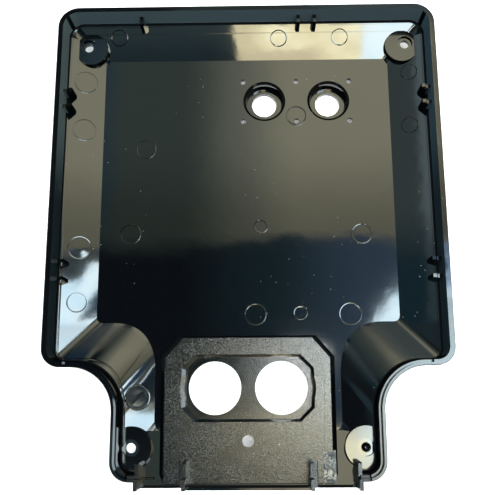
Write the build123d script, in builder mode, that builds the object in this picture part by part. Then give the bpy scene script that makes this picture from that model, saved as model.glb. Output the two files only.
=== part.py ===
"""Wall-unit back shell, one injection moulding, lying on its back with the open side up.

All lengths are millimetres. X runs across the shell, +Y to the wide end, +Z out of the open
side. The origin is the middle of the plan at the level of the flat outer bosses it rests on.
"""

import math
import os

from build123d import *

os.makedirs("parts", exist_ok=True)

# ---- overall sizes
WIDTH = 240.0            # across the rim of the body
TOTAL_LENGTH = 298.5     # rim of the wide end to the tip of the tongue
BODY_LENGTH = 228.1      # rim of the wide end to the shoulders
EAR_LENGTH = 291.7       # rim of the wide end to the ends of the ears
NECK_WIDTH = 156.0       # across the rim of the neck
WALL = 3.0

# ---- levels above the resting plane
FLOOR_Z = 10.0           # inner face of the floor
CREASE_Z = 17.4          # where the sloped panels meet the rim wall
LEDGE_Z = 30.0           # inner ledge of the neck's lap joint
RIM_Z = 33.0             # top of the rim
PLATFORM_Z = 17.8        # textured cable-entry platform
POCKET_Z = 3.0           # inner face of the pocket and of the gland wells

# ---- plan offsets and corner radii
SLOPE_RUN = 23.0         # plan width of the sloped panels of the body
CREASE_IN = 3.7          # rim's outside to the crease
WALL_IN = 3.3            # rim's outside to the inside of the rim wall
LIP = 1.8                # thickness of the outer lip beside the neck's ledge
LAP_HALF, LAP_FROM = 107.0, 222.0   # the ledge runs inside this X and beyond this distance
R_TOP, R_SHOULDER, R_CONCAVE, R_EAR = 13.0, 11.0, 25.0, 11.0
NECK_FLOOR = 112.0       # floor between the sloped sides of the neck
FLOOR_SHOULDER = 200.7   # wide end's rim to the floor's edge at the shoulders
FLOOR_END = 265.0        # wide end's rim to where the cable-entry ramp starts
RIDGE_R, VALLEY_R = 85.0, 14.0   # rounds where two sloped panels meet, over the ridge and in the valley
CREASE_ROUND, OUTER_ROUND, RIM_BEVEL = 2.0, 3.5, 0.4

# ---- platform and its eight-sided pocket
PLATFORM_TOP, PLATFORM_END = 209.4, 294.4    # distances from the wide end's rim
PLATFORM_WIDTH, PLATFORM_CUT = 103.6, 12.4   # width, and length of the cut corners
EDGE_SIDE, EDGE_TOP, EDGE_DROP = 2.6, 1.2, 1.5
POCKET_Y = 240.2
POCKET_L, POCKET_W, POCKET_CUT = 78.9, 39.3, 8.1
POCKET_DRAFT = 1.0
CABLE_R, CABLE_GAP, CABLE_DISH = 16.1, 40.7, 20.0
PLATFORM_HOLE_R, PLATFORM_HOLE_Y = 3.4, 270.6
APRON_Z = PLATFORM_Z - EDGE_DROP

# ---- gland wells and their screw holes
WELL_X, WELL_Y, WELL_GAP = 32.6, 55.8, 41.9
WELL_R, WELL_FOOT_R, GLAND_R = 12.4, 11.3, 8.05
SCREW_X, SCREW_Y, SCREW_R = 34.8, 27.6, 1.8

# ---- corner fixing bosses: hole x and y, disc x and y, disc radius, level of its face
BOSSES = (
    (104.4, 18.5, 102.1, 20.2, 10.8, 15.5),
    (68.8, 274.5, 68.8, 274.3, 12.2, 16.9),
)
FIX_R, FIX_SINK_R, FIX_SINK = 2.9, 5.0, 1.5

# ---- guide ribs on the rim wall, and latch fins at the cable entry
RIB_T, RIB_Z, RIB_LOW_Z, RIB_REACH = 2.2, 28.0, 26.2, 9.5
RIB_NOTCH_IN, RIB_NOTCH, RIB_NOTCH_DEEP = 6.2, 0.5, 1.0
SIDE_RIBS = (54.0, 64.4, 164.6, 175.2)
TOP_RIBS = (-67.6, 33.9, 44.4)
FIN_T, FIN_START, FIN_GAP_START, FIN_GAP_END, FIN_END = 2.1, 281.7, 289.2, 290.4, 296.4
FIN_LOW_Z, FIN_GAP_Z = 28.5, 24.0
FIN_NOTCH, FIN_NOTCH_WIDE, FIN_NOTCH_DEEP = 286.4, 0.7, 0.8
INNER_FIN, OUTER_FIN = 36.2, 63.1            # middle of each fin from the centre line
GUSSET, GUSSET_Z = 2.4, 18.3                 # low web in each outer fin's corner
RAMP_END, APRON_END = 295.0, 296.9
TONGUE_HALF, TONGUE_END = 38.4, TOTAL_LENGTH

# ---- relief in the left rim wall for a lid catch
CATCH_FROM, CATCH_TO, CATCH_DEEP = 109.5, 118.5, 1.4

TOP_Y = TOTAL_LENGTH / 2
MIDDLE, TOP = 110.0, RIM_Z + 1               # inside the body, and above everything
RISE = CREASE_Z - FLOOR_Z
SLOPE = math.atan2(RISE, SLOPE_RUN)


def y_at(distance):
    """Frame Y of a distance measured from the rim of the wide end."""
    return TOP_Y - distance


def rounded(corners):
    """Face of a closed outline given as (x, y, radius) corners in order."""
    arcs = []
    for i, (x, y, r) in enumerate(corners):
        here = Vector(x, y)
        back = (Vector(*corners[i - 1][:2]) - here).normalized()
        on = (Vector(*corners[(i + 1) % len(corners)][:2]) - here).normalized()
        half = math.acos(max(-1.0, min(1.0, back.dot(on)))) / 2
        run = r / math.tan(half)
        mid = (back + on).normalized()
        arcs.append((here + back * run, here + mid * (r / math.sin(half) - r), here + on * run))
    with BuildSketch() as outline:
        with BuildLine():
            for i, arc in enumerate(arcs):
                ThreePointArc(*arc)
                Line(arc[2], arcs[(i + 1) % len(arcs)][0])
        make_face()
    return outline.sketch


def plan(half, top, shoulder, neck, end, r_top, r_shoulder, r_concave, r_ear):
    """Outline of the shell, the same on both sides of X = 0, distances from the wide end."""
    right = [
        (half, y_at(top), r_top),
        (half, y_at(shoulder), r_shoulder),
        (neck, y_at(shoulder), r_concave),
        (neck, y_at(end), r_ear),
    ]
    left = [(-x, y, r) for x, y, r in reversed(right)]
    return rounded(right + left)


def rim_plan(inset):
    """The rim's outline moved inwards by inset."""
    return plan(
        WIDTH / 2 - inset, inset, BODY_LENGTH - inset, NECK_WIDTH / 2 - inset,
        EAR_LENGTH - inset, R_TOP - inset, R_SHOULDER - inset, R_CONCAVE + inset,
        R_EAR - inset,
    )


def trough(wall, near, far, x_axis):
    """Room above a floor with two sloped panels, run along the other axis.

    near and far are each (floor edge, crease); the panels are moved out by wall. A crease of
    None leaves that side upright. The run is along Y where x_axis is true, and else along X."""
    sides = []
    for edge, crease in (near, far):
        if crease is None:
            sides.append([(edge, TOP), (edge, FLOOR_Z - wall)])
            continue
        steep = RISE / abs(crease - edge)
        away = math.copysign(1, crease - edge)
        foot = edge + away * wall * (math.sqrt(1 + steep ** 2) - 1) / steep
        reach = foot + away * (TOP - FLOOR_Z + wall) / steep
        sides.append([(reach, TOP), (foot, FLOOR_Z - wall)])
    outline = sides[0] + sides[1][::-1]
    with BuildPart() as room:
        with BuildSketch(Plane.XZ.offset(-TOTAL_LENGTH) if x_axis else Plane.YZ.offset(-WIDTH)):
            with BuildLine():
                Polyline(*[(u if x_axis else y_at(u), z) for u, z in outline], close=True)
            make_face()
        extrude(amount=2 * (TOTAL_LENGTH if x_axis else WIDTH))
    return room.part


def bowl(wall, inset, ridge, valley, crease):
    """The body's and the neck's room inside the rim's outline, panels moved out by wall."""
    half, edge = WIDTH / 2 - CREASE_IN, CREASE_IN + SLOPE_RUN
    neck, low = NECK_WIDTH / 2 - CREASE_IN, NECK_FLOOR / 2
    body = trough(wall, (SLOPE_RUN - half, -half), (half - SLOPE_RUN, half), True) & trough(
        wall, (edge, CREASE_IN), (FLOOR_SHOULDER, BODY_LENGTH - CREASE_IN), False)
    throat = trough(wall, (-low, -neck), (low, neck), True) & trough(
        wall, (MIDDLE, None), (FLOOR_END, EAR_LENGTH - CREASE_IN), False)
    with BuildPart() as room:
        add(body)
        add(throat)
        hips = [e for e in room.edges() if e.bounding_box().size.Z > RISE]
        ridges = [e for e in hips if at_corner(e, low, FLOOR_SHOULDER)]
        valleys = [e for e in hips if at_corner(e, half - SLOPE_RUN, FLOOR_SHOULDER)
                   or at_corner(e, half - SLOPE_RUN, edge) or at_corner(e, low, FLOOR_END)]
        fillet(ridges, ridge)
        fillet(valleys, valley)
        with BuildSketch(Plane.XY.offset(-1)):
            add(rim_plan(inset))
        extrude(amount=TOP + 1, mode=Mode.INTERSECT)
        level = CREASE_Z - wall + (CREASE_IN - inset) * math.tan(SLOPE)
        fillet([e for e in room.edges()
                if abs(e.center().Z - level) < 2.2 and e.bounding_box().size.Z < 2.6], crease)
    return room.part


def at_corner(edge, x, distance):
    """True for an edge whose lower end is near a plan corner of the floor, on either side."""
    foot = min((edge @ 0, edge @ 1), key=lambda p: p.Z)
    return abs(abs(foot.X) - x) < 2 and abs(foot.Y - y_at(distance)) < 2


def level_edges(solid, level):
    """Edges of a solid that lie flat at one level."""
    return [e for e in solid.edges()
            if abs(e.center().Z - level) < 0.01 and e.bounding_box().size.Z < 0.01]


def prism(sections):
    """Solid through flat sections given as (level, face)."""
    with BuildPart() as solid:
        for level, face in sections:
            with BuildSketch(Plane.XY.offset(level)):
                add(face)
        loft(ruled=True)
    return solid.part


def profile_x(points, x_min, x_max):
    """Solid of a (distance, level) outline, run along X."""
    with BuildPart() as solid:
        with BuildSketch(Plane.YZ.offset(x_min)):
            with BuildLine():
                Polyline(*[(y_at(d), z) for d, z in points], close=True)
            make_face()
        extrude(amount=x_max - x_min)
    return solid.part


def box_at(x_min, x_max, near, far, z_min, z_max):
    """Block between two X, two distances from the wide end and two levels."""
    return Pos((x_min + x_max) / 2, y_at((near + far) / 2), (z_min + z_max) / 2) * Box(
        x_max - x_min, far - near, z_max - z_min, mode=Mode.PRIVATE
    )


def disc_at(x, distance, z_min, z_max, radius, end_radius=None):
    """Upright round bar, or a cone where the radius at its top differs."""
    place = Pos(x, y_at(distance), (z_min + z_max) / 2)
    if end_radius is None:
        return place * Cylinder(radius, z_max - z_min, mode=Mode.PRIVATE)
    return place * Cone(radius, end_radius, z_max - z_min, mode=Mode.PRIVATE)


def platform_outline(side, top, end):
    """Platform's outline, moved inwards by side and top."""
    half = PLATFORM_WIDTH / 2 - side
    high = PLATFORM_TOP + top
    with BuildSketch() as outline:
        with BuildLine():
            Polyline(
                (half, y_at(end)),
                (half, y_at(high + PLATFORM_CUT)),
                (half - PLATFORM_CUT + 1.5, y_at(high)),
                (-half + PLATFORM_CUT - 1.5, y_at(high)),
                (-half, y_at(high + PLATFORM_CUT)),
                (-half, y_at(end)),
                close=True,
            )
        make_face()
    return outline.sketch


def pocket_outline(inset):
    """Eight-sided outline of the cable pocket, moved inwards by inset."""
    a, b = POCKET_L / 2 - inset, POCKET_W / 2 - inset
    c = POCKET_CUT - inset * 0.6
    middle = y_at(POCKET_Y)
    corners = [(a, b - c), (a - c, b), (c - a, b), (-a, b - c)]
    ring = corners + [(-x, -y) for x, y in corners]
    with BuildSketch() as outline:
        with BuildLine():
            Polyline(*[(x, middle + y) for x, y in ring], close=True)
        make_face()
    return outline.sketch


def fin(middle, foot, end_foot):
    """Latch fin: low notched inner part, a gap, and a tooth as high as the rim."""
    notch_end = FIN_NOTCH + FIN_NOTCH_WIDE
    return profile_x(
        [
            (FIN_START, foot), (FIN_START, FIN_LOW_Z - 0.5), (FIN_START + 0.5, FIN_LOW_Z),
            (FIN_NOTCH, FIN_LOW_Z), (FIN_NOTCH, FIN_LOW_Z - FIN_NOTCH_DEEP),
            (notch_end, FIN_LOW_Z - FIN_NOTCH_DEEP), (notch_end, FIN_LOW_Z),
            (FIN_GAP_START, FIN_LOW_Z),
            (FIN_GAP_START, FIN_GAP_Z), (FIN_GAP_END, FIN_GAP_Z), (FIN_GAP_END, RIM_Z),
            (FIN_END, RIM_Z), (FIN_END, end_foot),
        ],
        middle - FIN_T / 2,
        middle + FIN_T / 2,
    )


def rib():
    """Guide rib from the rim's outside (X = 0) inwards along +X, stepped and notched on top."""
    tail, foot = CREASE_IN - 1.0, CREASE_Z - 1.0
    low_foot = foot - (RIB_REACH - CREASE_IN) * math.tan(SLOPE)
    with BuildPart() as blade:
        with BuildSketch(Plane.XZ.offset(-RIB_T / 2)):
            with BuildLine():
                Polyline(
                    (tail, foot), (tail, RIB_LOW_Z), (RIB_NOTCH_IN, RIB_LOW_Z),
                    (RIB_NOTCH_IN + 0.2, RIB_LOW_Z - RIB_NOTCH_DEEP),
                    (RIB_NOTCH_IN + RIB_NOTCH, RIB_LOW_Z - RIB_NOTCH_DEEP),
                    (RIB_NOTCH_IN + RIB_NOTCH + 0.3, RIB_Z), (RIB_REACH - 0.3, RIB_Z),
                    (RIB_REACH, RIB_Z - 0.4),
                    (RIB_REACH, low_foot), close=True,
                )
            make_face()
        extrude(amount=RIB_T)
    return blade.part


with BuildPart() as closed:
    add(bowl(WALL, 0, RIDGE_R - WALL, VALLEY_R + WALL, OUTER_ROUND))
    split(bisect_by=Plane.XY.offset(RIM_Z), keep=Keep.BOTTOM)
outer = closed.part

with BuildPart() as shell:
    # closed outer form: floor, sloped panels and rim
    add(outer)
    chamfer(level_edges(shell, RIM_Z), RIM_BEVEL)
    # hollow: sloped panels and rim wall
    add(bowl(0, WALL_IN, RIDGE_R, VALLEY_R, CREASE_ROUND), mode=Mode.SUBTRACT)
    # ledge of the lap joint, inside the neck's rim
    with BuildSketch(Plane.XY.offset(LEDGE_Z)):
        add(rim_plan(LIP))
        with Locations((0, y_at(LAP_FROM + 50))):
            Rectangle(2 * LAP_HALF, 100, mode=Mode.INTERSECT)
    extrude(amount=RIM_Z - LEDGE_Z + 1, mode=Mode.SUBTRACT)
    # cable-entry ramp: rim wall opened between the outer fins, thin apron beyond it
    slope = (PLATFORM_Z - FLOOR_Z) / (RAMP_END - FLOOR_END)
    add(profile_x(
        [
            (FLOOR_END - 3, FLOOR_Z - WALL), (FLOOR_END, FLOOR_Z - WALL),
            (APRON_END, FLOOR_Z - WALL + slope * (APRON_END - FLOOR_END)),
            (APRON_END, PLATFORM_Z - EDGE_DROP), (RAMP_END, PLATFORM_Z), (FLOOR_END, FLOOR_Z),
            (FLOOR_END - 3, FLOOR_Z),
        ],
        -OUTER_FIN - FIN_T / 2, OUTER_FIN + FIN_T / 2,
    ))
    add(profile_x(
        [
            (FLOOR_END, FLOOR_Z), (RAMP_END, PLATFORM_Z), (APRON_END, PLATFORM_Z - EDGE_DROP),
            (APRON_END + 9, PLATFORM_Z - EDGE_DROP), (APRON_END + 9, RIM_Z + 1),
            (FLOOR_END, RIM_Z + 1),
        ],
        -OUTER_FIN, OUTER_FIN,
    ), mode=Mode.SUBTRACT)
    # raised platform, with its tongue, hollow underneath
    add(prism([
        (FLOOR_Z - WALL, platform_outline(0, 0, PLATFORM_END)),
        (PLATFORM_Z - EDGE_DROP, platform_outline(0, 0, PLATFORM_END)),
    ]))
    add(prism([
        (PLATFORM_Z - EDGE_DROP, platform_outline(0, 0, PLATFORM_END)),
        (PLATFORM_Z, platform_outline(EDGE_SIDE, EDGE_TOP, PLATFORM_END)),
    ]))
    add(profile_x(
        [
            (PLATFORM_END - 6, PLATFORM_Z), (PLATFORM_END, PLATFORM_Z),
            (PLATFORM_END + 2.1, PLATFORM_Z - EDGE_DROP), (PLATFORM_END + 2.1, PLATFORM_Z - 3.4),
            (TONGUE_END, PLATFORM_Z - 3.4), (TONGUE_END, PLATFORM_Z - 5.9),
            (PLATFORM_END - 6, PLATFORM_Z - 5.9),
        ],
        -TONGUE_HALF, TONGUE_HALF,
    ))
    with BuildSketch(Plane.XY.offset(-1)):
        add(platform_outline(WALL, WALL, PLATFORM_END + 20))
        with Locations((0, y_at(PLATFORM_END + 14))):
            Rectangle(2 * WIDTH, 30, mode=Mode.SUBTRACT)
    extrude(amount=PLATFORM_Z - WALL + 1, mode=Mode.SUBTRACT)
    # eight-sided pocket for the two cable glands
    add(prism([(0, pocket_outline(POCKET_DRAFT + 0.2 - WALL)),
               (PLATFORM_Z - 1, pocket_outline(-WALL))]))
    add(prism([(POCKET_Z, pocket_outline(POCKET_DRAFT)), (PLATFORM_Z, pocket_outline(0))]),
        mode=Mode.SUBTRACT)
    for side in (-1, 1):
        middle = side * CABLE_GAP / 2
        add(disc_at(middle, POCKET_Y, POCKET_Z, PLATFORM_Z, CABLE_DISH), mode=Mode.SUBTRACT)
        add(disc_at(middle, POCKET_Y, -1, POCKET_Z + 1, CABLE_R), mode=Mode.SUBTRACT)
    # gland wells
    for side in (-1, 1):
        x = WELL_X + side * WELL_GAP / 2
        add(disc_at(x, WELL_Y, 0, FLOOR_Z - 1, WELL_R + 2.2))
        add(disc_at(x, WELL_Y, POCKET_Z, FLOOR_Z, WELL_FOOT_R, WELL_R), mode=Mode.SUBTRACT)
        add(disc_at(x, WELL_Y, FLOOR_Z - 1.2, FLOOR_Z, WELL_R - 0.2, WELL_R + 1.4),
            mode=Mode.SUBTRACT)
        add(disc_at(x, WELL_Y, -1, POCKET_Z + 1, GLAND_R), mode=Mode.SUBTRACT)
    # screw holes round the wells
    with Locations(*[(WELL_X + i * SCREW_X, y_at(WELL_Y) + j * SCREW_Y / 2, FLOOR_Z)
                     for i in (-1, 0, 1) for j in (-1, 1)]):
        Cylinder(SCREW_R, 12, mode=Mode.SUBTRACT)
    # corner bosses with sunk fixing holes
    for hole_x, hole_y, disc_x, disc_y, disc_r, face_z in BOSSES:
        for side in (-1, 1):
            add(disc_at(side * disc_x, disc_y, FLOOR_Z - WALL, face_z, disc_r) & outer)
            add(disc_at(side * hole_x, hole_y, face_z - FIX_SINK, face_z + 4, FIX_SINK_R),
                mode=Mode.SUBTRACT)
            add(disc_at(side * hole_x, hole_y, -1, RIM_Z, FIX_R), mode=Mode.SUBTRACT)
    # hole in the platform, and the grooves beside the inner fins
    add(disc_at(0, PLATFORM_HOLE_Y, -1, RIM_Z, PLATFORM_HOLE_R), mode=Mode.SUBTRACT)
    for side in (-1, 1):
        edge = INNER_FIN + FIN_T / 2
        near, far = sorted((side * edge, side * (edge + 3.0)))
        add(box_at(near, far, FIN_START, RAMP_END + 4, PLATFORM_Z - 1.2, PLATFORM_Z + 1),
            mode=Mode.SUBTRACT)
        add(fin(side * INNER_FIN, PLATFORM_Z - 2, PLATFORM_Z - 2))
        add(fin(side * OUTER_FIN, FLOOR_Z + 3, PLATFORM_Z - 1.8))
        root = side * (OUTER_FIN - FIN_T / 2 + 0.2)
        with BuildSketch(Plane.XY.offset(APRON_Z - 2)):
            with BuildLine():
                Polyline(
                    (root, y_at(APRON_END - 1)), (root, y_at(APRON_END - 1 - GUSSET)),
                    (root - side * GUSSET, y_at(APRON_END - 1)), close=True,
                )
            make_face()
        extrude(amount=GUSSET_Z - APRON_Z + 2)
    # relief in the rim wall for a lid catch
    with BuildSketch(Plane.XY.offset(CREASE_Z + 1.5)):
        with BuildLine():
            wall = -WIDTH / 2 + CREASE_IN
            Polyline(
                (wall + 0.3, y_at(CATCH_FROM)), (wall + 0.3, y_at(CATCH_TO)),
                (wall - CATCH_DEEP, y_at(CATCH_TO)), close=True,
            )
        make_face()
    extrude(amount=LEDGE_Z - CREASE_Z, mode=Mode.SUBTRACT)
    # guide ribs
    for distance in SIDE_RIBS:
        add(Pos(-WIDTH / 2, y_at(distance), 0) * rib())
        add(Pos(WIDTH / 2, y_at(distance), 0) * Rot(0, 0, 180) * rib())
    for x in TOP_RIBS:
        add(Pos(x, TOP_Y, 0) * Rot(0, 0, -90) * rib())

print("shell", shell.part.is_valid, len(shell.part.solids()), len(shell.part.faces()))
shell.part.label = "housing"
export_step(shell.part, "parts/housing.step")
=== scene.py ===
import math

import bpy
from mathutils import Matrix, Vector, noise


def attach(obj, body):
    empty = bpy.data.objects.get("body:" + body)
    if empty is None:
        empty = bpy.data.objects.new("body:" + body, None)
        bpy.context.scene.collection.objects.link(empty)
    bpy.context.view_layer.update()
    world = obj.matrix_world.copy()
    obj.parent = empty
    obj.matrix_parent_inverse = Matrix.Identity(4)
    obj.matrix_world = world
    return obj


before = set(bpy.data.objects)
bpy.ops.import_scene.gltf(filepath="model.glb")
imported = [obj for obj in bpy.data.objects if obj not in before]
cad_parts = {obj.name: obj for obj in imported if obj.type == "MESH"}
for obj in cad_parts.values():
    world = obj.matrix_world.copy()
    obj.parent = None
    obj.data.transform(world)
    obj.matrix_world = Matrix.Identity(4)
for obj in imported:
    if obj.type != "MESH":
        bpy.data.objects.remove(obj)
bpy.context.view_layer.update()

# %% [markdown]
# # A black moulded back shell on a white table
#
# The object is one injection moulding: a shallow back shell for a unit that hangs on a wall. It
# lies on its back and shows its open side. Its solid comes ready made from the CAD frame, in
# metres, so this lesson is about everything after that: a camera, a table, light that gives a
# glossy black surface something to mirror, and the finishes and small marks of the moulding.

MM = 0.001
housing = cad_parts["housing"]

# %% [markdown]
# ## The camera
#
# A camera is an empty eye with a lens. It could be aimed by eye until the picture looks right,
# or worked out from known points of the object. This one is worked out: it stands 43 cm above
# the table, over the neck of the shell, and tips towards the wide end to see the whole floor.
# The matrix is built from three turns in a fixed order, because three Euler numbers alone can
# mean different things.

# %% Place the camera
IMAGE_PX = 495        # side of the square picture
LENS_PX = 686.494     # from the eye to the picture, counted in the same pixels
SENSOR_WIDTH = 36.0   # millimetres
EYE = Vector((6.45867, -91.71843, 432.42368)) * MM
LEAN, SWING, ROLL = 0.2035055, 0.0147712, -0.0083918   # about X, Y and Z, in radians

camera = bpy.data.objects.new("camera", bpy.data.cameras.new("camera"))
camera.data.sensor_width = SENSOR_WIDTH
camera.data.lens = SENSOR_WIDTH * LENS_PX / IMAGE_PX
camera.data.clip_start = 0.01
camera.matrix_world = (Matrix.Translation(EYE) @ Matrix.Rotation(LEAN, 4, "X")
                       @ Matrix.Rotation(SWING, 4, "Y") @ Matrix.Rotation(ROLL, 4, "Z"))
bpy.context.scene.collection.objects.link(camera)
bpy.context.scene.camera = camera
bpy.context.scene.view_settings.view_transform = "Standard"
print("lens", round(camera.data.lens, 2), "mm, eye", [round(v, 3) for v in EYE])

# %% [markdown]
# ## Writing shaders as sums
#
# A material is a graph of nodes. Placing forty nodes by hand hides the idea behind them, so the
# next cell lets Python do it. `Value` wraps one socket, and `a * 2 + b` or `1 - mask` adds the
# Math nodes. Two of its methods make masks: `ramp` is a soft step, and `band` is a step up and
# a step down. `Sheet` is one material's page of nodes, and its `node` method adds any other
# node from its type, its settings and the values of its sockets.

# %% A small language for node graphs
class Value:
    """One number that varies over a surface: an output socket with arithmetic."""

    def __init__(self, sheet, socket):
        self.sheet, self.socket = sheet, socket

    def _math(self, operation, *numbers):
        return self.sheet.node("ShaderNodeMath", {"operation": operation},
                               dict(enumerate(numbers)))

    def __add__(self, other): return self._math("ADD", self, other)
    def __radd__(self, other): return self._math("ADD", other, self)
    def __sub__(self, other): return self._math("SUBTRACT", self, other)
    def __rsub__(self, other): return self._math("SUBTRACT", other, self)
    def __mul__(self, other): return self._math("MULTIPLY", self, other)
    def __truediv__(self, other): return self._math("DIVIDE", self, other)
    def __abs__(self): return self._math("ABSOLUTE", self)
    def most(self, other): return self._math("MAXIMUM", self, other)

    def ramp(self, low, high, start=0.0, end=1.0):
        """start at low, end at high, and a smooth step between them."""
        return self.sheet.node("ShaderNodeMapRange",
                               {"interpolation_type": "SMOOTHSTEP", "clamp": True},
                               {"Value": self, "From Min": low, "From Max": high,
                                "To Min": start, "To Max": end})

    def band(self, low, full_from, full_to, high):
        """1 between the middle two numbers, and 0 before the first and after the last."""
        return self.ramp(low, full_from) * self.ramp(high, full_to)


class Sheet:
    """The nodes of one material."""

    def __init__(self, name):
        self.material = bpy.data.materials.new(name)
        self.material.use_nodes = True
        self.tree = self.material.node_tree
        self.shader = self.tree.nodes["Principled BSDF"]

    def node(self, kind, settings=None, values=None, out=0):
        """Adds a node, sets it up, feeds its sockets and returns one output."""
        made = self.tree.nodes.new(kind)
        for name, value in (settings or {}).items():
            setattr(made, name, value)
        for key, value in (values or {}).items():
            self.feed(made.inputs[key], value)
        return Value(self, made.outputs[out])

    def feed(self, socket, value):
        """Links a Value to a socket, or writes a constant into it."""
        if isinstance(value, Value):
            self.tree.links.new(value.socket, socket)
        elif socket.type == "RGBA" and len(value) == 3:
            socket.default_value = (*value, 1.0)
        else:
            socket.default_value = value

    def set(self, **sockets):
        """Feeds the shader's own sockets: base_color goes to Base Color."""
        for name, value in sockets.items():
            self.feed(self.shader.inputs[name.replace("_", " ").title().replace("Ior", "IOR")],
                      value)

    def split(self, vector):
        """The X, Y and Z of a vector."""
        made = self.tree.nodes.new("ShaderNodeSeparateXYZ")
        self.feed(made.inputs[0], vector)
        return [Value(self, made.outputs[axis]) for axis in "XYZ"]

    def place(self):
        """Where a point lies on the object, in millimetres: a vector, then its X, Y and Z."""
        where = self.node("ShaderNodeTexCoord", out="Object")
        in_mm = self.node("ShaderNodeVectorMath", {"operation": "SCALE"},
                          {0: where, "Scale": 1 / MM})
        return in_mm, *self.split(in_mm)

    def grain(self, where, size, detail=2.0, roughness=0.5, distortion=0.0):
        """Noise from 0 to 1 whose blots are about size millimetres."""
        return self.node("ShaderNodeTexNoise", {"noise_dimensions": "3D"},
                         {"Vector": where, "Scale": 1 / size, "Detail": detail,
                          "Roughness": roughness, "Distortion": distortion})

    def blend(self, mask, low, high):
        """The colour low where mask is 0 and high where it is 1."""
        made = self.tree.nodes.new("ShaderNodeMix")
        made.data_type = "RGBA"
        # A Mix node keeps sockets for each kind of data. Its colours are inputs 6 and 7.
        for index, value in ((0, mask), (6, low), (7, high)):
            self.feed(made.inputs[index], value)
        return Value(self, made.outputs[2])


print("node language ready")

# %% [markdown]
# ## The table
#
# A sheet of white card under the shell. It glows a little, as card does under a light table, so
# that it stays white round the black part and shows white through every hole. It lies a hair
# below the shell, because two surfaces at the same level flicker.

# %% Lay the table
TABLE_HALF, TABLE_LEVEL = 4.0, -0.0004   # metres


def flat_card(name, half, level, material):
    """A level square round the origin, in metres, that belongs to the stage."""
    mesh = bpy.data.meshes.new(name)
    mesh.from_pydata([(-half, -half, level), (half, -half, level), (half, half, level),
                      (-half, half, level)], [], [(0, 1, 2, 3)])
    mesh.materials.append(material)
    card = bpy.data.objects.new(name, mesh)
    bpy.context.scene.collection.objects.link(card)
    return card


white_card = Sheet("white_card")
white_card.set(base_color=(0.88, 0.88, 0.88), roughness=0.9, emission_color=(1, 1, 1),
               emission_strength=0.25)
flat_card("table", TABLE_HALF, TABLE_LEVEL, white_card.material)
print("table", 2 * TABLE_HALF, "m wide")

# %% [markdown]
# ## The light
#
# Gloss black plastic has no colour of its own to show: it shows what it mirrors, at about four
# parts in a hundred. A few lamps would leave it black with white dots. So the light comes from
# one large painted card overhead, as in a product studio. Each sloped panel of the shell mirrors
# another part of the card, like the facets of a cut stone, and from 6 m up those parts stay
# clear of each other.
#
# The paint is made of soft-edged shapes, laid over each other in the order of the next cells.
# Lengths on the card are counted in thousandths of its height above the table, which are
# slopes: 100 is a tenth of the height away from straight up. A little noise makes the edges
# wander. Tones are those that the plastic shows, and the card glows 24 times as bright, because
# the plastic mirrors about one part in 24.
#
# The level floor mirrors the middle of the card: a grey-olive field, brighter to the right, and
# below it a dark belt with a soft, slanting edge.

# %% Paint the overhead card: the field and the dark belt
OVERHEAD = 6.0       # metres above the table
CARD_GLOW = 24.0     # one over what the plastic mirrors
BLACK = (0, 0, 0)

overhead = Sheet("overhead_card")
blend = overhead.blend
spot, card_x, card_y, _ = overhead.place()
wander = (overhead.grain(spot, 380.0, 3.0) - 0.5) * 24
x, y = card_x / OVERHEAD + wander * 0.5, card_y / OVERHEAD - wander

field = blend(x.ramp(-262, -215), (0.015, 0.029, 0.038), (0.026, 0.035, 0.031))
field = blend(x.ramp(-122, -8), field, (0.096, 0.100, 0.080))
field = blend(x.ramp(-30, 70), field, (0.176, 0.172, 0.124))
field = blend(y.ramp(400, 230) * 0.5, field, (0.006, 0.007, 0.003))
belt = blend(x.ramp(-130, 20), (0.0020, 0.0026, 0.0038), (0.0050, 0.0115, 0.0140))
belt = blend(x.ramp(10, 180), belt, (0.020, 0.034, 0.052))
edge = x.ramp(-140, 40, 208, 224) - x.ramp(150, 360, 0, 24)
softness = x.ramp(-110, 20, 22, 9)
paint = blend(((y - edge) / softness).ramp(-1, 1), belt, field)
print("field and dark belt:", len(overhead.tree.nodes), "nodes")

# %% [markdown]
# The shoulders tip the view past the upper end of the field. The rims are level, but they stand
# far out, so they mirror the strips at 290 to 316 on either side: black for the left one and a
# darker field for the right one. The right panel tips the view to the far left of the card, on
# to a dim zone with a paler strip along its inner edge and near black beyond it.

# %% Paint what the shoulders, the rims and the right panel mirror
far = y.ramp(660, 720)
beyond = blend(x.ramp(-170, -90), (0.003, 0.004, 0.005), (0.018, 0.024, 0.024))
beyond = blend(x.ramp(60, 160), beyond, (0.034, 0.047, 0.051))
beyond = blend(far, beyond,
               blend(x.ramp(-320, -250), (0.008, 0.018, 0.028), (0.12, 0.12, 0.095)))
beyond = blend(far * x.ramp(-120, 60), beyond, (0.036, 0.048, 0.048))
paint = blend(y.ramp(575, 610), paint, beyond)

left_rim = x.ramp(-292, -304) * y.ramp(700, 650)
right_rim = x.band(290, 295, 310, 316)
paint = blend(left_rim, paint, (0.0020, 0.0024, 0.0032))
paint = blend(right_rim * y.ramp(200, 230) * 0.5, paint, BLACK)

below_far = y.ramp(690, 640)
right_panel = blend(y.ramp(170, 300), (0.005, 0.015, 0.020), (0.028, 0.036, 0.036))
right_panel = blend(x.ramp(-382, -374) * y.ramp(180, 300, 0.25, 1), right_panel,
                    (0.068, 0.090, 0.098))
paint = blend(x.ramp(-344, -350) * below_far, paint, right_panel)
paint = blend(x.ramp(-445, -470) * below_far, paint, (0.0045, 0.0060, 0.0065))
print("shoulders, rims and right panel:", len(overhead.tree.nodes), "nodes")

# %% [markdown]
# The slope at the wide end mirrors the lower part of the card. There a dark ground meets a warm,
# clouded wall along a nearly straight edge.

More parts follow.
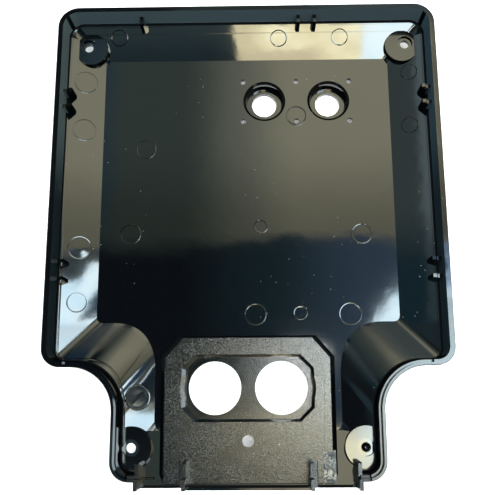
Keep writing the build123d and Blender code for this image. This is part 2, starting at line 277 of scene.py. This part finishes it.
# %% Paint the warm wall
low = y.ramp(-70, -80)
ground = blend(y.ramp(-76, -132), (0.022, 0.034, 0.037), (0.010, 0.018, 0.022))
ground = blend(y.ramp(-134, -200), ground, (0.003, 0.005, 0.007))
paint = blend(low * x.ramp(-640, -560), paint, ground)

cloud = overhead.grain(spot, 240.0, 3.0, distortion=1.0).ramp(0.3, 0.7)
warm_wall = blend(cloud, (0.78, 0.70, 0.42), (1.0, 0.95, 0.64))
warm_wall = blend(x.ramp(20, -10) * 0.6, warm_wall, (0.50, 0.43, 0.26))
warm_wall = blend(y.ramp(-112, -122) * x.ramp(120, 80), warm_wall, (0.58, 0.51, 0.33))
paint = blend(low * (x + y * 0.1).ramp(-44, -38) * y.ramp(-170, -142), paint, warm_wall)
print("warm wall:", len(overhead.tree.nodes), "nodes")

# %% [markdown]
# The left panel mirrors a window with a bright sky. Its left edge is bent and has two corners
# cut off, its head steps up to the right, a slanting bar crosses it, and a dim beam runs above
# it. Then come two small patches. The first is very bright, and only the matt platform mirrors
# it. The second gives the lower half of the right rim its mottled blue.

# %% Paint the window and two patches
upper_cut = x.ramp(238, 228) * y.ramp(118, 150)
lower_cut = x.ramp(166, 158) * y.ramp(-66, -74)
sill = ((x - y * 0.17).ramp(164, 170) * (x - y * 0.57).ramp(128, 143)
        * (1 - upper_cut) * (1 - lower_cut))
head = (y - x.ramp(352, 384, 0, 32)).ramp(164, 152)
window = sill * head * y.ramp(-141, -138) * x.ramp(500, 450)
bar = x.ramp(356, 372) * (y - x * 0.45).ramp(-82, -74) * (y - x * 1.9).ramp(-598, -612)
beam = x.ramp(320, 340) * (y - x * 0.2).band(76, 84, 128, 140)
sky = blend(overhead.grain(spot, 280.0, 2.0).ramp(0.35, 0.6), (0.62, 0.85, 0.98),
            (0.84, 1.0, 1.05))
paint = blend(beam, paint, (0.022, 0.030, 0.032))
paint = blend(window, paint, blend(bar, sky, (0.014, 0.030, 0.052)))

platform_patch = x.band(45, 60, 94, 104) * y.band(-16, 4, 44, 58)
paint = blend(platform_patch, paint, (3.0, 3.1, 3.0))
mottle = blend(overhead.grain(spot, 60.0, 3.0).ramp(0.3, 0.7), (0.05, 0.08, 0.13),
               (0.24, 0.36, 0.52))
rim_patch = x.band(288, 294, 310, 316) * y.band(50, 70, 190, 215)
paint = blend(rim_patch, paint, mottle)
print("window and patches:", len(overhead.tree.nodes), "nodes")

# %% [markdown]
# The sides of the neck are steeper and look further out. The left one sees a bright strip, a
# brown zone, a warm band and some sky, and the right one sees nearly nothing.

# %% Paint what the sides of the neck mirror, and hang the card
paint = blend(x.ramp(470, 520) * y.ramp(260, 200), paint, (0.045, 0.045, 0.035))
left_side = blend(abs(x - 553).ramp(12, 6), (0.007, 0.014, 0.019), (0.50, 0.62, 0.70))
left_side = blend(x.ramp(546, 540), left_side, (0.080, 0.078, 0.055))
left_side = blend(y.ramp(22, 10) * x.ramp(618, 600), left_side, (0.20, 0.19, 0.15))
left_side = blend(y.ramp(-34, -42), left_side,
                  blend(x.ramp(640, 668), (0.62, 0.55, 0.38), (0.16, 0.17, 0.14)))
left_side = blend(y.ramp(-50, -57), left_side, sky)
paint = blend(x.band(522, 534, 714, 722) * y.band(-96, -88, 124, 142), paint, left_side)

right_side = blend(x.ramp(-698, -680), (0.0025, 0.0030, 0.0040), (0.012, 0.022, 0.028))
paint = blend(x.ramp(-560, -600) * y.ramp(60, 20), paint, right_side)

overhead.set(base_color=BLACK, emission_color=paint, emission_strength=CARD_GLOW, roughness=1.0)
card = flat_card("overhead", OVERHEAD, OVERHEAD, overhead.material)
card.visible_camera = False
print("overhead card at", OVERHEAD, "m with", len(overhead.tree.nodes), "nodes")

# %% [markdown]
# ## Soft boxes and the tone of the room
#
# Five plain lamps add even light to the table, the dust and the grain. They are hidden from
# mirrors, so that none of them shows up as a bright line in a crease.

# %% Set up the lamps and the room
def soft_box(name, at, width, height, watts, colour=(1, 1, 1)):
    """A rectangular lamp, in metres, that looks at the middle of the table."""
    lamp = bpy.data.objects.new(name, bpy.data.lights.new(name, "AREA"))
    lamp.data.shape = "RECTANGLE"
    lamp.data.size, lamp.data.size_y = width, height
    lamp.data.energy, lamp.data.color = watts, colour
    lamp.location = at
    lamp.rotation_euler = (Vector((0, 0, 0)) - Vector(at)).to_track_quat("-Z", "Y").to_euler()
    lamp.visible_camera = lamp.visible_glossy = False
    bpy.context.scene.collection.objects.link(lamp)


soft_box("box_left", (-2.2, 0.3, 0.9), 1.4, 0.8, 14, (0.93, 0.98, 1.0))
soft_box("box_right", (2.2, -0.3, 0.9), 1.4, 0.8, 10, (1.0, 0.97, 0.92))
soft_box("box_back", (0.2, 2.2, 0.8), 1.6, 0.7, 12)
soft_box("box_front", (0.0, -2.2, 0.9), 1.6, 0.7, 27, (0.90, 0.97, 1.0))
soft_box("key", (0, 0, 2.3), 3.0, 3.0, 140)

room = bpy.data.worlds.new("room")
room.use_nodes = True
bpy.context.scene.world = room
room.node_tree.nodes["Background"].inputs["Color"].default_value = (0.9, 0.95, 1.0, 1)
room.node_tree.nodes["Background"].inputs["Strength"].default_value = 0.12
print(len(bpy.data.lights), "lamps")

# %% [markdown]
# ## The plastic
#
# The real finish is a polished mould copied in black plastic: a mirror with faint waves and
# dust. Some parts of the mould are duller: the spark-eroded platform of the cable entry and its
# pocket, the walls of the rim, the faces of the bosses, the fins at the open end, the shoulders
# and the rim of the neck. One material does it all. A mask picks each part by its place in the
# shell's own millimetres, and by which way the surface faces.

# %% Masks for the duller parts
PLATFORM_HALF = 51.8    # half the platform's width
PLATFORM_FROM = 209.4   # where it begins, counted from the wide end
PLATFORM_Z = 17.8
WIDE_END_Y = 149.25

plastic = Sheet("black_plastic")
spot, x, y, z = plastic.place()
side = abs(x)
distance = WIDE_END_Y - y
_, _, facing_up = plastic.split(plastic.node("ShaderNodeTexCoord", out="Normal"))
level = abs(facing_up).ramp(0.80, 0.90)
upright = 1 - abs(facing_up).ramp(0.20, 0.45)

platform = (z.band(PLATFORM_Z - 0.35, PLATFORM_Z - 0.15, PLATFORM_Z + 0.2, PLATFORM_Z + 0.4)
            * (side.ramp(PLATFORM_HALF - 2.2, PLATFORM_HALF - 2.8)
               * distance.ramp(PLATFORM_FROM + 1.0, PLATFORM_FROM + 1.4)
               * (side - distance + PLATFORM_FROM).ramp(38.6, 38.0)
               * distance.ramp(294.6, 294.2)))
pocket = z.band(2.7, 2.9, 3.1, 3.3) * level * distance.ramp(219, 220)
rim = level * z.ramp(32.2, 32.5)
rim_wall = (upright * z.ramp(16.5, 18.0) * side.ramp(114.6, 115.4).most(y.ramp(143.4, 144.2))
            * side.ramp(118.6, 118.2) * y.ramp(148.0, 147.6))
wide_end_boss = z.band(15.2, 15.4, 15.55, 15.6) * y.ramp(100, 110)
neck_boss = z.band(16.7, 16.8, 16.95, 17.0) * side.ramp(54, 55)
boss = level * (wide_end_boss + neck_boss)
grooves = (z.band(16.3, 16.5, 16.7, 16.9) * side.band(35, 36, 40, 41)
           * distance.ramp(281.0, 281.5))
fins = (distance.ramp(280.8, 281.2) * z.ramp(18.0, 18.4) * side.ramp(69, 68)).most(grooves)
shoulder = (y.ramp(-50, -55) * (y - x.ramp(-40, 40, 18, 0)).ramp(-92, -82)
            * side.ramp(53.5, 56) * z.band(10.05, 10.8, 20, 24))
neck_rim = level * z.ramp(29.5, 30.0) * y.ramp(-30, -45) * x.ramp(50, 55)
print("masks ready:", len(plastic.tree.nodes), "nodes")

# %% [markdown]
# The bump adds waves, the grain of spark erosion, and the worn top of the right rim. It also
# tilts three places a little: a height that grows evenly with Y turns what a surface mirrors,
# as a real slope would. Fine grain is lost when a picture is cleaned of noise, so the platform
# has a painted sparkle in its base colour too: pale specks that stand in for the glints of its
# grain. The walls of the rim are very dull, and their base colour holds painted light: a
# blue-grey that stands in for the light they catch, darker towards the neck.

# %% Gloss, waves, grain, dust and painted light
DUST_SPACING = 12.0   # millimetres from one possible fleck to the next
PLASTIC_TONE = (0.0004, 0.0006, 0.0008)
DUST_TONE = (0.20, 0.21, 0.20)
# The tone of the painted sparkle on the platform
PAINTED_SPARKLE_TONE = (0.034, 0.038, 0.040)

waves = plastic.grain(spot, 26.0, 2.0) * 0.06 + plastic.grain(spot, 5.0, 1.0) * 0.006
sparks = plastic.grain(spot, 0.55, 2.0, 0.7) * (platform + pocket * 0.5 + fins) * 0.055
left_neck_boss = boss * side.ramp(50, 54) * y.ramp(0, -50) * x.ramp(0, -50)
worn_rim = rim * plastic.grain(spot, 9.0, 2.0) * 0.05 * x.ramp(100, 110) * y.ramp(20, -20)
height = (waves + sparks - left_neck_boss * y * 0.035 - fins * y * 0.12 + platform * y * 0.025
          + worn_rim)
bump = plastic.node("ShaderNodeBump", None, {"Strength": 1.0, "Distance": MM, "Height": height})

fleck_places = plastic.node("ShaderNodeTexVoronoi",
                            {"feature": "F1", "voronoi_dimensions": "2D"},
                            {"Vector": spot, "Scale": 1 / DUST_SPACING, "Randomness": 1.0})
fleck = fleck_places.ramp(0.020, 0.010) * plastic.grain(spot, 35.0).ramp(0.57, 0.64) * level
haze = plastic.grain(spot, 60.0, 4.0, 0.6)
matt = (platform * 0.24 + pocket * 0.30 + rim_wall * 1.4 + boss * 0.25 + fins * 0.8
        + shoulder * 0.45 + neck_rim * 0.8)
roughness = 0.030 + haze * 0.04 + matt * 0.24 + fleck * 0.5

# Painted sparkle: pale specks in the platform's base colour stand in for the glints of its real
# fine grain.
painted_sparkle = (plastic.grain(spot, 0.7, 3.0, 0.75).ramp(0.47, 0.66)
           * plastic.grain(spot, 14.0, 2.0).ramp(0.35, 0.65, 0.5, 1.0))
# Painted light on the walls of the rim: a blue-grey base colour stands in for the light they
# catch. It is paler towards the wide end, darker towards the neck, and has a different tone on
# the left and the right walls.
towards_end = y.ramp(20, 75)
left_wall_painted_light = plastic.blend(towards_end, (0.006, 0.012, 0.015), (0.060, 0.085, 0.085))
right_wall_painted_light = plastic.blend(towards_end, (0.012, 0.022, 0.028), (0.035, 0.065, 0.080))
painted_wall_light = plastic.blend(x.ramp(110, 115), left_wall_painted_light, right_wall_painted_light)
painted_wall_light = plastic.blend(y.ramp(143, 145), painted_wall_light, (0.046, 0.070, 0.080))
# The base colour: black plastic with dust, then the painted sparkle on the platform and the
# painted light on the walls of the rim.
colour = plastic.blend(fleck, PLASTIC_TONE, DUST_TONE)
colour = plastic.blend(platform * painted_sparkle, colour, PAINTED_SPARKLE_TONE)
colour = plastic.blend(rim_wall, colour, painted_wall_light)

plastic.set(base_color=colour, roughness=roughness, normal=bump, ior=1.5)
housing.data.materials.clear()
housing.data.materials.append(plastic.material)
print("plastic has", len(plastic.tree.nodes), "nodes")

# %% [markdown]
# ## Ejector-pin marks
#
# When a moulding is pushed off its mould, round steel pins leave faint circles: a shallow disc
# with a burr of a few hundredths of a millimetre round it. They could be drawn in the bump, but
# then the mesh would lack them. So each is a small turned mesh laid on the surface. Its
# profile is turned about the pin's axis, and its rim is sunk into the plastic. One mark lies
# round a screw hole, so it is only a ring.

# %% Tools for turned pieces
PIN_STEPS = 48
PIN_FLAT = 0.012   # how far the disc stands up inside its burr
PIN_SUNK = -0.06   # how deep its edge goes into the plastic


def add_piece(name, points, faces, material=plastic.material):
    """A smooth mesh, in millimetres, that moves with the shell and takes its finish."""
    mesh = bpy.data.meshes.new(name)
    mesh.from_pydata([Vector(point) * MM for point in points], [], faces)
    mesh.materials.append(material)
    for face in mesh.polygons:
        face.use_smooth = True
    piece = bpy.data.objects.new(name, mesh)
    bpy.context.scene.collection.objects.link(piece)
    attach(piece, "root")


def turned(profile, steps, apex=None):
    """A closed mesh turned about Z: a disc round an apex, or a ring if there is no apex."""
    is_disc = apex is not None
    points = [Vector((0, 0, apex))] if is_disc else []
    first = len(points)
    for reach, rise in profile:
        for i in range(steps):
            angle = math.tau * i / steps
            points.append(Vector((reach * math.cos(angle), reach * math.sin(angle), rise)))
    faces = [(0, 1 + i, 1 + (i + 1) % steps) for i in range(steps)] if is_disc else []
    for ring in range(len(profile) - 1):
        inner, outer = first + ring * steps, first + (ring + 1) * steps
        faces += [(inner + i, outer + i, outer + (i + 1) % steps, inner + (i + 1) % steps)
                  for i in range(steps)]
    last = first + (len(profile) - 1) * steps
    if is_disc:
        faces.append(tuple(last + i for i in reversed(range(steps))))
    else:
        faces += [(last + i, i, (i + 1) % steps, last + (i + 1) % steps) for i in range(steps)]
    return points, faces


def pin_mark(name, centre, normal, radius, crown=0.03, burr=0.05, open_middle=False):
    """A low disc, or only a ring, with a burr round it, turned about its normal."""
    middle = (radius - 0.75, PIN_SUNK) if open_middle else (radius * 0.5, crown * 0.75)
    profile = [middle, (radius - 0.55, PIN_FLAT), (radius - 0.25, PIN_FLAT),
               (radius - 0.06, burr), (radius + 0.06, burr), (radius + 0.28, 0.0),
               (radius + 0.45, PIN_SUNK)]
    points, faces = turned(profile, PIN_STEPS, None if open_middle else crown)
    turn = Vector(normal).to_track_quat("Z", "Y")
    add_piece(name, [Vector(centre) + turn @ point for point in points], faces)


print("turning tools ready")

# %% [markdown]
# Each pin is given by its X, its distance from the wide end and its radius. A slope starts at a
# known line and rises at a known rate, which puts the pins on it at their height.

# %% Pin marks on the floor and the side panels
FLOOR_Z = 10.0
SIDE_FOOT_X, SIDE_RISE = 93.3, 0.3217   # where a side panel starts, and its rise per millimetre
DOMED, DISHED = 0.03, -0.02             # heights of the middle of a disc
RING_ONLY = 2                           # the mark round a screw hole
BULGED = 3                              # the mark that stands up most

floor_pins = [(-65.2, 88.2, 6.2), (32.4, 66.1, 6.4), (-73.8, 144.6, 6.3), (8.6, 140.2, 4.2),
              (72.1, 145.4, 6.3), (4.7, 196.0, 6.5), (32.5, 195.2, 4.1), (63.2, 195.9, 6.8)]
for number, (px, away, radius) in enumerate(floor_pins, 1):
    pin_mark(f"floor_pin_mark_{number}", (px, WIDE_END_Y - away, FLOOR_Z), (0, 0, 1), radius,
             DOMED if number % 2 else DISHED, open_middle=number == RING_ONLY)

side_pins = [(-105.3, 42.9, 7.2), (-105.1, 75.9, 7.1), (-104.8, 153.7, 7.2),
             (-105.2, 188.3, 5.9), (106.4, 38.3, 5.2), (105.2, 74.9, 5.2)]
for number, (px, away, radius) in enumerate(side_pins, 1):
    lift = (abs(px) - SIDE_FOOT_X) * SIDE_RISE
    pin_mark(f"side_pin_mark_{number}", (px, WIDE_END_Y - away, FLOOR_Z + lift),
             (-0.306 if px > 0 else 0.306, 0, 0.952), radius, 0.10 if number == BULGED else 0.02)
print(len(floor_pins) + len(side_pins), "pin marks on the floor and the side panels")

# %% Pin marks on the slope at the wide end and beside the neck
END_PIN_AWAY, END_PIN_Z, END_RISE = 11.88, 14.77, 0.3218   # a known point of the end slope

end_pins = [(-84.2, 11.9, 5.3), (21.5, 13.2, 5.3), (61.8, 12.9, 5.3)]
for number, (px, away, radius) in enumerate(end_pins, 1):
    lift = END_PIN_Z + (END_PIN_AWAY - away) * END_RISE
    pin_mark(f"end_pin_mark_{number}", (px, WIDE_END_Y - away, lift), (0, -0.3063, 0.9519),
             radius, 0.02)
pin_mark("neck_pin_mark", (-65.8, -96.3, 13.97), (0.374, 0, 0.927), 7.4, -0.03, 0.08)
print(len(end_pins) + 1, "pin marks on the slopes")

# %% [markdown]
# ## One closed hole
#
# A small turned cup, hollow side up, stands in the bore of the fixing hole at the lower right
# and closes it a little below its face, so that the hole shows dark plastic, not the table.

# %% Close the hole
HOLE = Vector((68.8, -125.25, 15.2))   # the middle of the bore, just under its sink
CUP_STEPS = 32
CUP_BOTTOM = -1.4
CUP_PROFILE = [(1.0, -1.25), (1.8, -0.75), (2.4, -0.2), (2.85, 0.1), (2.85, -3.0)]

points, faces = turned(CUP_PROFILE, CUP_STEPS, CUP_BOTTOM)
add_piece("closed_fixing_hole", [HOLE + point for point in points], faces)
print("cup with", len(faces), "faces")

# %% [markdown]
# ## Witness lines of the mould inserts
#
# The platform's part of the mould is built from blocks, and a hair of plastic creeps between
# them. Each line is a ridge with a roof-shaped section, 0.3 mm wide and a few hundredths high.
# The same roof, bent round part of a circle, gives the half ring beside the left fin.

# %% Lay the witness lines
LINE_SUNK = Vector((0, 0, 0.04))   # how deep the edges of a ridge go into the plastic
RING_X, RING_AWAY = -50.0, 283.4   # the middle of the half ring
RING_WIDE, RING_LONG, RING_STEPS = 6.2, 5.6, 16


def roof(name, path, half=0.16, rise=0.06):
    """A closed ridge with a roof-shaped section along a path of (x, distance, z) points."""
    points, faces = [], []
    for i, (px, away, level_z) in enumerate(path):
        before, after = path[max(i - 1, 0)], path[min(i + 1, len(path) - 1)]
        along = Vector((after[0] - before[0], before[1] - after[1], 0)).normalized()
        across = Vector((-along.y, along.x, 0)) * half
        middle = Vector((px, WIDE_END_Y - away, level_z))
        taper = 0.2 if i in (0, len(path) - 1) else 1.0
        points += [middle + across * taper - LINE_SUNK,
                   middle + Vector((0, 0, rise * taper)),
                   middle - across * taper - LINE_SUNK]
        if i:
            a, b = 3 * i - 3, 3 * i
            faces += [(a, a + 1, b + 1, b), (a + 1, a + 2, b + 2, b + 1), (a + 2, a, b, b + 2)]
    last = 3 * len(path) - 3
    faces += [(2, 1, 0), (last, last + 1, last + 2)]
    add_piece(name, points, faces)


def straight(x_from, away_from, x_to, away_to, steps=8):
    """A path from one point of the platform to another."""
    return [(x_from + (x_to - x_from) * i / steps, away_from + (away_to - away_from) * i / steps,
             PLATFORM_Z) for i in range(steps + 1)]


half_ring = [(RING_X + RING_WIDE * math.sin(math.pi * i / RING_STEPS),
              RING_AWAY - RING_LONG * math.cos(math.pi * i / RING_STEPS), PLATFORM_Z)
             for i in range(RING_STEPS + 1)]
lines = {"insert_line_top": straight(20.3, 211.8, 20.2, 219.6),
         "insert_line_right": straight(45.5, 232.8, 44.2, 275.6),
         "insert_line_side": straight(39.8, 233.2, 44.8, 233.3),
         "insert_line_low": straight(-40.0, 277.6, 39.5, 277.7, 16),
         "insert_line_left": straight(-42.7, 232.5, -42.4, 275.8),
         "insert_half_ring": half_ring}
for name, path in lines.items():
    roof(name, path)
print(len(lines), "witness lines")

# %% [markdown]
# ## The flaw at the right edge
#
# Where the melt met cold steel the skin has folded: a rough, pale patch as long as a thumbnail.
# It is a small grid pushed up and down by noise, with its border sunk so that no edge shows. Its
# own finish is a paler, patchy version of the plastic.

# %% Raise the flaw
FLAW_X, FLAW_AWAY = 43.0, 275.9     # its corner nearest to the middle of the shell
FLAW_WIDE, FLAW_LONG = 7.8, 19.0
ACROSS, ALONG = 24, 56              # squares of its grid
FLAW_SUNK, FLAW_RISE = 0.08, 0.12

scuffed = Sheet("scuffed_plastic")
scuffed_spot, *_ = scuffed.place()
patches = scuffed.grain(scuffed_spot, 6.0, 3.0, 0.6, 0.8).ramp(0.42, 0.62)
cracks = scuffed.grain(scuffed_spot, 3.2, 2.0, 0.5, 2.0).ramp(0.46, 0.38)
tone = scuffed.blend(patches, (0.004, 0.006, 0.008), (0.15, 0.145, 0.125))
tone = scuffed.blend(cracks, tone, (0.0010, 0.0012, 0.0016))
scuffed_bump = scuffed.node("ShaderNodeBump", None,
                            {"Strength": 0.6, "Distance": MM,
                             "Height": scuffed.grain(scuffed_spot, 1.2, 4.0, 0.7) * 0.3})
scuffed.set(base_color=tone, roughness=0.30 + patches * 0.2, ior=1.5, normal=scuffed_bump)

points = []
for j in range(ALONG + 1):
    for i in range(ACROSS + 1):
        u, v = i / ACROSS, j / ALONG
        px, away = FLAW_X + FLAW_WIDE * u, FLAW_AWAY + FLAW_LONG * v
        swell = min(1.0, 5 * min(u, 1 - u), 8 * min(v, 1 - v))
        swell *= 1 if noise.noise(Vector((px * 0.35, away * 0.35, 3.1))) > -0.28 else 0.4
        lump = 0.5 + noise.fractal(Vector((px * 0.6, away * 0.6, 1.7)), 0.9, 2.1, 4)
        points.append((px, WIDE_END_Y - away,
                       PLATFORM_Z - FLAW_SUNK + swell * (FLAW_RISE + FLAW_RISE * lump)))
row = ACROSS + 1
faces = [(j * row + i, (j + 1) * row + i, (j + 1) * row + i + 1, j * row + i + 1)
         for j in range(ALONG) for i in range(ACROSS)]
add_piece("fold_flaw", points, faces, scuffed.material)
print("flaw raised on", len(faces), "faces")
